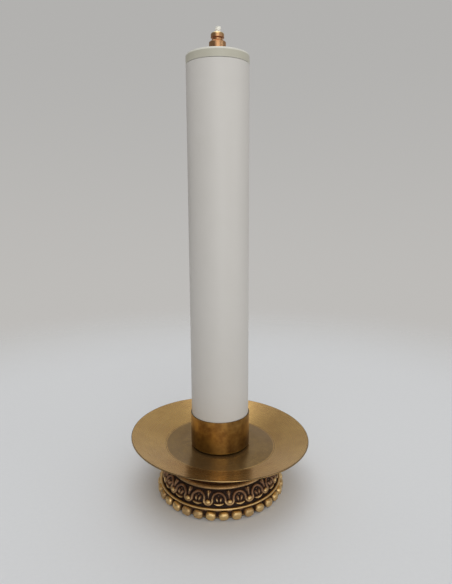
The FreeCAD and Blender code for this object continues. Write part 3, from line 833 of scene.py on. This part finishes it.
# %% Loose fibres
draw = np.random.default_rng(7)
fibre_points, fibre_faces = [], []
FIBRES = 34
FIBRE_SIDES = 5
FIBRE_LEVELS = 6
for _ in range(FIBRES):
    angle = draw.uniform(0, 2 * math.pi)
    stand = draw.uniform(0.9, 2.5)
    path = []
    for share in np.linspace(0, 1, FIBRE_LEVELS):
        reach = stand + draw.uniform(0.1, 0.5) * share ** 2
        rise = wick_high - 2.4 + share * draw.uniform(1.7, 2.2)
        lean = WICK_LEAN * max(0.0, rise - wick_high + LEAN_LENGTH) ** LEAN_POWER
        path.append((reach * math.cos(angle + 0.3 * share) + lean,
                     reach * math.sin(angle + 0.3 * share), rise))
    path = np.array(path)
    base = len(fibre_points)
    for share, centre in zip(np.linspace(0, 1, FIBRE_LEVELS), path):
        thick = 0.12 * (1 - 0.6 * share)
        for side in range(FIBRE_SIDES):
            turn_side = 2 * math.pi * side / FIBRE_SIDES
            spoke = np.array((math.cos(turn_side), math.sin(turn_side), 0))
            fibre_points.append(centre + thick * spoke)
    for level in range(FIBRE_LEVELS - 1):
        for side in range(FIBRE_SIDES):
            low = base + level * FIBRE_SIDES
            following = (side + 1) % FIBRE_SIDES
            fibre_faces.append([low + side, low + following, low + FIBRE_SIDES + following,
                                low + FIBRE_SIDES + side])
    fibre_faces.append([base + side for side in range(FIBRE_SIDES)][::-1])
    fibre_faces.append([base + (FIBRE_LEVELS - 1) * FIBRE_SIDES + side
                        for side in range(FIBRE_SIDES)])
fibres = make_piece(
    "wick_loose_fibres", np.array(fibre_points), fibre_faces, np.ones(len(fibre_points)))
place(fibres, "wick", "glass_fibre_wick", "wick")

# %% [markdown]
# ## Node helpers
# A finish is a small network of nodes. A few helpers keep the networks short: one makes a node and
# connects or sets its inputs by name, and the others do arithmetic, read noise, stretch a range and
# mix two colours by a mask.


# %% Node helpers
def linear(red, green, blue):
    """A colour written as 0 to 255, as it looks on a screen, made linear for the shader."""
    parts = [part / 255 for part in (red, green, blue)]
    return (*[part / 12.92 if part <= 0.04045 else ((part + 0.055) / 1.055) ** 2.4
              for part in parts], 1.0)


def put(socket, value, tree):
    """Links a socket into another, or writes a plain value there."""
    if isinstance(value, bpy.types.NodeSocket):
        tree.links.new(value, socket)
    else:
        socket.default_value = value


def node(tree, kind, inputs=(), **settings):
    """A shader node with its settings and inputs."""
    made = tree.nodes.new("ShaderNode" + kind)
    for name, value in settings.items():
        setattr(made, name, value)
    for name, value in dict(inputs).items():
        put(made.inputs[name], value, tree)
    return made


def maths(tree, operation, first, second, clamp=False):
    made = node(tree, "Math", {0: first, 1: second}, operation=operation, use_clamp=clamp)
    return made.outputs[0]


def times(tree, first, second):
    return maths(tree, "MULTIPLY", first, second)


def plus(tree, first, second, clamp=False):
    return maths(tree, "ADD", first, second, clamp)


def minus(tree, first, second, clamp=False):
    return maths(tree, "SUBTRACT", first, second, clamp)


def noise(tree, spot, scale, detail, **more):
    """A noise read at a spot, from 0 to 1."""
    inputs = {"Vector": spot, "Scale": scale, "Detail": detail, **more}
    return node(tree, "TexNoise", inputs).outputs["Fac"]


def blend_colour(tree, mask, first, second):
    made = node(tree, "Mix", {0: mask, 6: first, 7: second}, data_type="RGBA")
    return made.outputs[2]


def remap(tree, value, low, high, new_low=0.0, new_high=1.0):
    made = node(tree, "MapRange", {"Value": value, "From Min": low, "From Max": high,
                                   "To Min": new_low, "To Max": new_high},
                interpolation_type="SMOOTHSTEP")
    return made.outputs[0]


def new_group(name, inputs, outputs):
    """An empty node group with named sockets: (label, default) and labels of float outputs."""
    group = bpy.data.node_groups.new(name, "ShaderNodeTree")
    for label, default in inputs:
        socket = group.interface.new_socket(label, in_out="INPUT", socket_type="NodeSocketFloat")
        socket.default_value = default
    for label in outputs:
        group.interface.new_socket(label, in_out="OUTPUT", socket_type="NodeSocketFloat")
    given = group.nodes.new("NodeGroupInput").outputs
    return group, given, group.nodes.new("NodeGroupOutput").inputs


def use_group(tree, group, inputs):
    made = tree.nodes.new("ShaderNodeGroup")
    made.node_tree = group
    for name, value in inputs.items():
        put(made.inputs[name], value, tree)
    return made.outputs


print("a middle grey is", round(linear(128, 128, 128)[0], 3), "in linear light")

# %% [markdown]
# ## Shared effect: lathe grain
# Turned and burnished metal has fine lines that run round the axis. Noise read at the radius and
# the height alone gives perfect rings; a little of the direction from the axis is added, so that
# the rings drift and break up, as they do when a tool chatters.

# %% Lathe grain group
grain_group, given, result = new_group(
    "lathe_grain", [("Lines per mm", 3.0), ("Break up", 0.6)], ["Grain"])
tree = grain_group
spot = node(tree, "TexCoord").outputs["Object"]
parts = node(tree, "SeparateXYZ", {0: spot}).outputs
flat = node(tree, "CombineXYZ", {0: parts[0], 1: parts[1]}).outputs[0]
radius = node(tree, "VectorMath", {0: flat}, operation="LENGTH").outputs["Value"]
direction = node(tree, "VectorMath", {0: flat}, operation="NORMALIZE").outputs[0]
density = times(tree, given["Lines per mm"], 1000.0)
rings = node(tree, "CombineXYZ", {0: times(tree, radius, density),
                                  1: times(tree, parts[2], density)}).outputs[0]
drift = node(tree, "VectorMath", {0: direction, "Scale": given["Break up"]},
             operation="SCALE").outputs[0]
where = node(tree, "VectorMath", {0: rings, 1: drift}, operation="ADD").outputs[0]
put(result["Grain"], noise(tree, where, 1.0, 3.0, Roughness=0.6), tree)
print(grain_group.name, "ready")

# %% [markdown]
# ## Shared effect: patina clouds
# Brass tarnishes unevenly where it was touched, wiped and lacquered. Two sizes of cloudy noise,
# added and then sharpened, give patches with soft but definite borders.

# %% Patina cloud group
cloud_group, given, result = new_group(
    "patina_clouds", [("Patches per metre", 40.0), ("Level", 0.5), ("Softness", 0.2)], ["Cloud"])
tree = cloud_group
spot = node(tree, "TexCoord").outputs["Object"]
large = noise(tree, spot, given["Patches per metre"], 5.0, Roughness=0.62, Distortion=0.4)
small = noise(tree, spot, times(tree, given["Patches per metre"], 5.3), 3.0)
both = plus(tree, times(tree, large, 0.72), times(tree, small, 0.28))
low = minus(tree, given["Level"], given["Softness"])
high = plus(tree, given["Level"], given["Softness"])
put(result["Cloud"], remap(tree, both, low, high), tree)
print(cloud_group.name, "ready")

# %% [markdown]
# ## Shared effect: worn edges and grimy corners, with painted highlight and shade
# The meshes carry a tone: high on edges and tops, low in corners and recesses, and on some pieces
# also high where a highlight is painted and low where shade is painted. This group reads it and
# breaks it up with noise, so wear comes as rubs and nicks, and grime collects unevenly.

# %% Wear group
wear_and_shade_group, given, result = new_group(
    "edge_wear_and_shade", [("Tone", 0.0), ("Break up", 0.5), ("Patches per metre", 300.0)],
    ["Worn", "Grime_and_shade"])
tree = wear_and_shade_group
spot = node(tree, "TexCoord").outputs["Object"]
shake = noise(tree, spot, given["Patches per metre"], 4.0, Roughness=0.7)
shaken = times(tree, minus(tree, shake, 0.5), given["Break up"])
tone_here = plus(tree, given["Tone"], shaken)
put(result["Worn"], remap(tree, tone_here, 0.15, 0.85), tree)
put(result["Grime_and_shade"], remap(tree, times(tree, tone_here, -1.0), 0.1, 0.8), tree)
print(wear_and_shade_group.name, "ready")

# %% [markdown]
# ## Shared effect: settled dust
# Dust lies on faces that look upwards and thins out where they tilt. The true normal of the surface
# says which way it faces, and fine noise makes the layer patchy.

# %% Dust group
dust_group, given, result = new_group("settled_dust", [("Amount", 0.2)], ["Dust"])
tree = dust_group
upward = node(tree, "SeparateXYZ", {0: node(tree, "NewGeometry").outputs["Normal"]}).outputs[2]
facing = remap(tree, upward, 0.55, 0.98)
spot = node(tree, "TexCoord").outputs["Object"]
specks = noise(tree, spot, 900.0, 5.0, Roughness=0.75)
drifts = noise(tree, spot, 35.0, 2.0)
layer = times(tree, remap(tree, specks, 0.42, 0.75), remap(tree, drifts, 0.3, 0.7))
put(result["Dust"], times(tree, times(tree, layer, facing), given["Amount"]), tree)
print(dust_group.name, "ready")

# %% [markdown]
# ## One recipe for every metal
# All the metals here differ only in their numbers, so they share one recipe around one Principled
# shader: a body colour that varies between two shades by cloud and grain, a bright shade where the
# tone is high, for wear and on some pieces a painted highlight, a dark one where it is low, for
# grime and on some pieces painted shade, and dust on top. That dark layer is less metallic and
# rougher. The start, the colour layers and the relief come first, because the plastics use them
# too.


# %% Shared steps of a finish
def begin(name, clouds, wear, dust):
    """A new material with its tree and shader, and its cloud, worn-and-lit, grimy-and-shaded and
    dusty masks.
    """
    material = bpy.data.materials.new(name)
    material.use_nodes = True
    tree = material.node_tree
    tone = node(tree, "Attribute", attribute_name="tone").outputs["Fac"]
    cloud = use_group(tree, cloud_group, {"Patches per metre": clouds[0], "Level": clouds[1],
                                          "Softness": clouds[2]})["Cloud"]
    worn_and_lit, grimy_and_shaded = use_group(tree, wear_and_shade_group, {"Tone": tone, "Break up": wear[0],
                                               "Patches per metre": wear[1]})
    settled = use_group(tree, dust_group, {"Amount": dust})["Dust"]
    return material, tree, tree.nodes["Principled BSDF"], cloud, (worn_and_lit, grimy_and_shaded, settled)


def layer_colours(tree, shader, mask, shade, body, masks, layers):
    """The base colour: shade to body by the mask, then each layer over it by its own mask."""
    colour = blend_colour(tree, mask, linear(*shade), linear(*body))
    for layer_mask, layer_colour in zip(masks, layers):
        colour = blend_colour(tree, layer_mask, colour, linear(*layer_colour))
    put(shader.inputs["Base Color"], colour, tree)


def raise_relief(tree, shader, height, strength):
    bump_node = node(tree, "Bump", {"Strength": strength, "Distance": 0.0004, "Height": height})
    put(shader.inputs["Normal"], bump_node.outputs[0], tree)


# %% Metal recipe
METAL_DUST = (176, 168, 156)


def metal(name, body, shade, bright, grime_and_shade, *, clouds=(40, 0.5, 0.2), grain=(3.0, 0.6, 0.3),
          wear=(0.5, 300), rough=(0.3, 0.2, 0.6), bump=0.05, dust=0.1, anisotropic=0.0, pits=0.0,
          skin=0.0):
    """A metal from four colours, written as they should look in daylight.

    rough is (body, worn and lit, grime and shade); grain ends with its strength; skin is how much
    of a dull skin covers the metal where it is neither worn nor lit; pits is the depth of the pores
    of a casting.
    """
    material, tree, shader, cloud, masks = begin(name, clouds, wear, dust)
    worn_and_lit, grimy_and_shaded, settled = masks
    shader.inputs["Anisotropic"].default_value = anisotropic
    shader.inputs["Anisotropic Rotation"].default_value = 0.25
    lines = use_group(tree, grain_group, {"Lines per mm": grain[0], "Break up": grain[1]})["Grain"]
    streak = times(tree, minus(tree, lines, 0.5), grain[2])
    mask = plus(tree, cloud, streak, clamp=True)
    layer_colours(tree, shader, mask, shade, body, masks, (bright, grime_and_shade, METAL_DUST))
    roughness = plus(tree, rough[0], times(tree, streak, 0.35))
    roughness = plus(tree, roughness, times(tree, worn_and_lit, rough[1] - rough[0]))
    roughness = plus(tree, roughness, times(tree, grimy_and_shaded, rough[2] - rough[0]))
    roughness = plus(tree, roughness, times(tree, settled, 0.4), clamp=True)
    put(shader.inputs["Roughness"], roughness, tree)
    covered = times(tree, minus(tree, 1.0, worn_and_lit), skin)
    covered = plus(tree, covered, times(tree, grimy_and_shaded, 0.3))
    dull = plus(tree, covered, settled, clamp=True)
    put(shader.inputs["Metallic"], minus(tree, 1.0, dull, clamp=True), tree)
    height = lines
    if pits:
        spot = node(tree, "TexCoord").outputs["Object"]
        height = plus(tree, lines, times(tree, noise(tree, spot, 1100.0, 4.0), pits))
    raise_relief(tree, shader, height, bump)
    return material


def dress(material, *pieces):
    """Gives the material to new pieces and, by name, to CAD nodes that are still shown."""
    for piece in pieces:
        if isinstance(piece, str):
            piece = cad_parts[piece]
        else:
            piece.data.materials.clear()
        if piece.material_slots:
            piece.material_slots[0].material = material
        else:
            piece.data.materials.append(material)
    print(material.name, "on", len(pieces), "pieces")


# %% [markdown]
# ## Brass, bronze and steel
# The casting is dipped dark and rubbed back, so its recesses are almost black and its tops gold;
# its dark shade also paints the shade under the pan, on the neck and between the pearls. The pan
# was burnished and is the brightest large surface; its grain is long and its gloss is pulled into
# streaks across the lines, which is what anisotropic means. The socket is alike, but tarnished;
# its bright shade paints the highlight on its bevel. The burner is new and polished; its dark
# shade paints its dark reflected bands. The screw, nut and washers are plated steel.

# %% Metals
# Its dark colour is patina and, under the pan and between the pearls, painted shade.
casting_brass = metal(
    "antique_casting", (158, 120, 90), (106, 76, 56), (236, 202, 142), (44, 25, 15),
    clouds=(90, 0.5, 0.2), grain=(1.2, 4.0, 0.2), wear=(0.55, 420), rough=(0.46, 0.34, 0.62),
    bump=0.25, dust=0.05, pits=0.8, skin=0.3)
dress(casting_brass, casting, pearls, neck)

pan_metal = metal(
    "burnished_pan", (228, 188, 120), (198, 158, 102), (222, 190, 122), (60, 44, 30),
    clouds=(22, 0.5, 0.3), grain=(2.6, 0.8, 0.5), wear=(0.2, 200), rough=(0.26, 0.22, 0.22),
    bump=0.05, dust=0.10, anisotropic=0.5)
dress(pan_metal, pan)

# Its bright colour paints the highlight on the bevel.
socket_metal = metal(
    "tarnished_socket", (168, 138, 84), (114, 86, 52), (240, 210, 130), (42, 26, 17),
    clouds=(34, 0.5, 0.14), grain=(2.0, 1.2, 0.35), wear=(0.5, 320), rough=(0.30, 0.22, 0.5),
    bump=0.08, dust=0.04, anisotropic=0.7)
dress(socket_metal, socket, "socket_spacer")

# Its dark colour paints the dark reflected bands on the knob and collar.
burner_metal = metal(
    "polished_burner", (238, 190, 142), (218, 162, 114), (252, 222, 164), (126, 70, 38),
    clouds=(160, 0.45, 0.25), grain=(5.0, 0.6, 0.3), wear=(0.3, 700), rough=(0.16, 0.12, 0.4),
    bump=0.04, dust=0.03)
dress(burner_metal, collar, knob, "wick_tube")

steel = metal(
    "bright_steel", (190, 190, 186), (150, 148, 140), (222, 222, 220), (70, 62, 52),
    clouds=(120, 0.45, 0.25), grain=(4.0, 1.0, 0.3), wear=(0.4, 500), rough=(0.3, 0.22, 0.55),
    bump=0.06, dust=0.04)
dress(steel, screw, nut, washer, spring)

# %% [markdown]
# ## Plastics, rubber, felt and fibre
# The tube and cap are satin white plastic, and the cap is a little greyer, with a lighter colour on
# its rounded top edge: a painted highlight. They use the cloud, wear and dust groups too, with very
# small steps between the colours. The tank is milky, the seal dull and dark, the felt a mat of
# fibres and the wick glass threads.


# %% Soft and plastic recipe
PLAIN_DUST = (150, 146, 138)
PLAIN_WEAR = (0.3, 200.0)
SHEEN_SPREAD = 0.05          # how far the roughness follows the clouds


def plain(name, body, shade, grime_and_shade, *, clouds=(20, 0.5, 0.3), rough=0.4, bump=0.05, scale=600.0,
          dust=0.05, stretch_z=1.0, edge_highlight=None):
    """A material that is not metal, from two close shades, a grime and shade colour and a painted
    highlight colour.
    """
    material, tree, shader, cloud, masks = begin(name, clouds, PLAIN_WEAR, dust)
    layer_colours(tree, shader, cloud, shade, body, masks, (edge_highlight or body, grime_and_shade, PLAIN_DUST))
    uneven_gloss = times(tree, minus(tree, cloud, 0.5), SHEEN_SPREAD)
    put(shader.inputs["Roughness"], plus(tree, uneven_gloss, rough, clamp=True), tree)
    spot = node(tree, "TexCoord").outputs["Object"]
    squashed = node(tree, "VectorMath", {0: spot, 1: (1, 1, stretch_z)}, operation="MULTIPLY")
    raise_relief(tree, shader, noise(tree, squashed.outputs[0], scale, 4.0), bump)
    return material


# %% Plastics and fibres
tube_white = plain("satin_white_tube", (200, 198, 195), (196, 194, 190), (168, 160, 148),
                   clouds=(9, 0.5, 0.3), rough=0.42, bump=0.06, stretch_z=0.15, scale=500.0)
dress(tube_white, tube, "tube_foot_plug")
# The lighter edge colour of the cap is a painted highlight.
cap_white = plain("satin_white_cap", (184, 182, 169), (178, 176, 162), (150, 144, 130),
                  clouds=(30, 0.5, 0.3), rough=0.34, bump=0.05, scale=900.0, dust=0.04,
                  edge_highlight=(208, 208, 199))
dress(cap_white, head)
milky = plain("milky_tank", (214, 214, 206), (200, 202, 196), (170, 168, 156),
              clouds=(30, 0.5, 0.3), rough=0.3, bump=0.05)
milky.node_tree.nodes["Principled BSDF"].inputs["Transmission Weight"].default_value = 0.25
dress(milky, tank)
rubber = plain("seal_rubber", (52, 48, 44), (40, 37, 34), (24, 22, 20), rough=0.7, bump=0.2,
               scale=2000.0)
dress(rubber, gasket)
felt_cloth = plain("foot_felt", (58, 66, 52), (44, 50, 40), (30, 32, 26), clouds=(260, 0.5, 0.25),
                   rough=0.95, bump=0.8, scale=2600.0, dust=0.0)
felt_cloth.node_tree.nodes["Principled BSDF"].inputs["Sheen Weight"].default_value = 0.5
dress(felt_cloth, felt)
glass_fibre = plain("glass_fibre", (236, 236, 228), (222, 221, 210), (170, 164, 148),
                    clouds=(400, 0.5, 0.3), rough=0.5, bump=0.3, scale=3000.0, stretch_z=0.2)
dress(glass_fibre, wick, fibres)

# %% [markdown]
# ## Floor, air and light
# The candlestick stands on pale seamless paper. A round floor catches its shadow and fades out
# before its rim, so the paper seems to run on into the background, and the camera sees through it
# from below. The camera sees a pale grey wall. Mirrors, glass and rough surfaces see a room
# instead: the wall behind, a bright front, dim sides and a pale ground, and rough surfaces get it
# half as strong again. Two soft lamps hang overhead, one stands in front and one at the right.

# %% Floor
FLOOR_STEPS = 96
floor_radii = np.array((0.15, 0.3, 0.5, 0.7, 1.0))
floor_angles = circle(FLOOR_STEPS)
floor_points = [(0.0, 0.0, 0.0)] + [(radius * math.cos(angle), radius * math.sin(angle), 0.0)
                                     for radius in floor_radii for angle in floor_angles]
floor_faces = []
for corner in range(FLOOR_STEPS):
    floor_faces.append([0, 1 + corner, 1 + (corner + 1) % FLOOR_STEPS])
for ring_number in range(len(floor_radii) - 1):
    for corner in range(FLOOR_STEPS):
        here = 1 + ring_number * FLOOR_STEPS + corner
        following = 1 + ring_number * FLOOR_STEPS + (corner + 1) % FLOOR_STEPS
        floor_faces.append([here, here + FLOOR_STEPS, following + FLOOR_STEPS, following])
floor_mesh = bpy.data.meshes.new("floor")
floor_mesh.from_pydata(floor_points, [], floor_faces)
floor = bpy.data.objects.new("floor", floor_mesh)
bpy.context.scene.collection.objects.link(floor)

paper = bpy.data.materials.new("paper")
paper.use_nodes = True
tree = paper.node_tree
shader = tree.nodes["Principled BSDF"]
shader.inputs["Roughness"].default_value = 0.9
shader.inputs["Specular IOR Level"].default_value = 0.1
spot = node(tree, "TexCoord").outputs["Object"]
paper_colour = blend_colour(tree, noise(tree, spot, 260.0, 4.0),
                            linear(218, 221, 225), linear(222, 225, 229))
put(shader.inputs["Base Color"], paper_colour, tree)
distance = node(tree, "VectorMath", {0: spot}, operation="LENGTH").outputs["Value"]
from_below = times(tree, node(tree, "NewGeometry").outputs["Backfacing"],
                   node(tree, "LightPath").outputs["Is Camera Ray"])
faded = remap(tree, distance, 0.42, 0.95, 1.0, 0.0)
put(shader.inputs["Alpha"], minus(tree, faded, from_below, clamp=True), tree)
floor_mesh.materials.append(paper)
print("floor of", floor_radii[-1], "m radius")

# %% Air
world = bpy.data.worlds.new("air")
bpy.context.scene.world = world
world.use_nodes = True
tree = world.node_tree
tree.nodes.clear()
toward = node(tree, "TexCoord").outputs["Generated"]
along = node(tree, "SeparateXYZ", {0: toward}).outputs
wall = blend_colour(tree, remap(tree, along[2], -0.25, 0.35),
                    linear(190, 188, 185), linear(178, 177, 175))
in_front = remap(tree, along[1], 0.1, -0.8)
room = blend_colour(tree, in_front, wall, linear(246, 244, 240))
room = blend_colour(tree, remap(tree, along[0], 0.05, -0.7), room, linear(112, 108, 104))
room = blend_colour(tree, remap(tree, along[0], 0.2, 0.85), room, linear(140, 137, 133))
below = remap(tree, along[2], 0.0, -0.25)
room = blend_colour(tree, below, room, linear(206, 205, 203))
ray = node(tree, "LightPath").outputs
shown = node(tree, "Background", {"Color": wall, "Strength": 1.0}).outputs[0]
mirrored = node(tree, "Background", {"Color": room, "Strength": 1.0}).outputs[0]
fill = node(tree, "Background", {"Color": room, "Strength": 1.5}).outputs[0]
glossy = maths(tree, "MAXIMUM", ray["Is Glossy Ray"], ray["Is Transmission Ray"])
mixed = node(tree, "MixShader", {0: glossy, 1: fill, 2: mirrored}).outputs[0]
mixed = node(tree, "MixShader", {0: ray["Is Camera Ray"], 1: mixed, 2: shown}).outputs[0]
put(node(tree, "OutputWorld").inputs["Surface"], mixed, tree)
print("air ready")


# %% Lamps
def lamp(name, where, size, power):
    """A square soft lamp that looks at the lower part of the candlestick."""
    light = bpy.data.lights.new(name, "AREA")
    light.shape = "SQUARE"
    light.size = size
    light.energy = power
    made = bpy.data.objects.new(name, light)
    made.location = where
    target = np.array((0.0, 0.0, 0.15)) - np.array(where)
    made.rotation_euler = (math.atan2(math.hypot(target[0], target[1]), -target[2]), 0,
                           math.atan2(target[1], target[0]) - math.pi / 2)
    bpy.context.scene.collection.objects.link(made)
    print(name, power, "W")


lamp("ceiling_lamp_behind", (-0.15, 0.3, 2.4), 1.8, 12.0)
lamp("ceiling_lamp_before", (0.0, -1.0, 2.0), 1.2, 2.5)
lamp("front_lamp", (0.35, -2.0, 0.3), 1.0, 3.0)
lamp("right_lamp", (1.8, -0.9, 0.5), 1.0, 2.5)

# %% [markdown]
# ## Colours as they are
# Blender's usual view bends colours towards a film look. The standard view shows them as computed.

# %% View
bpy.context.scene.view_settings.view_transform = "Standard"
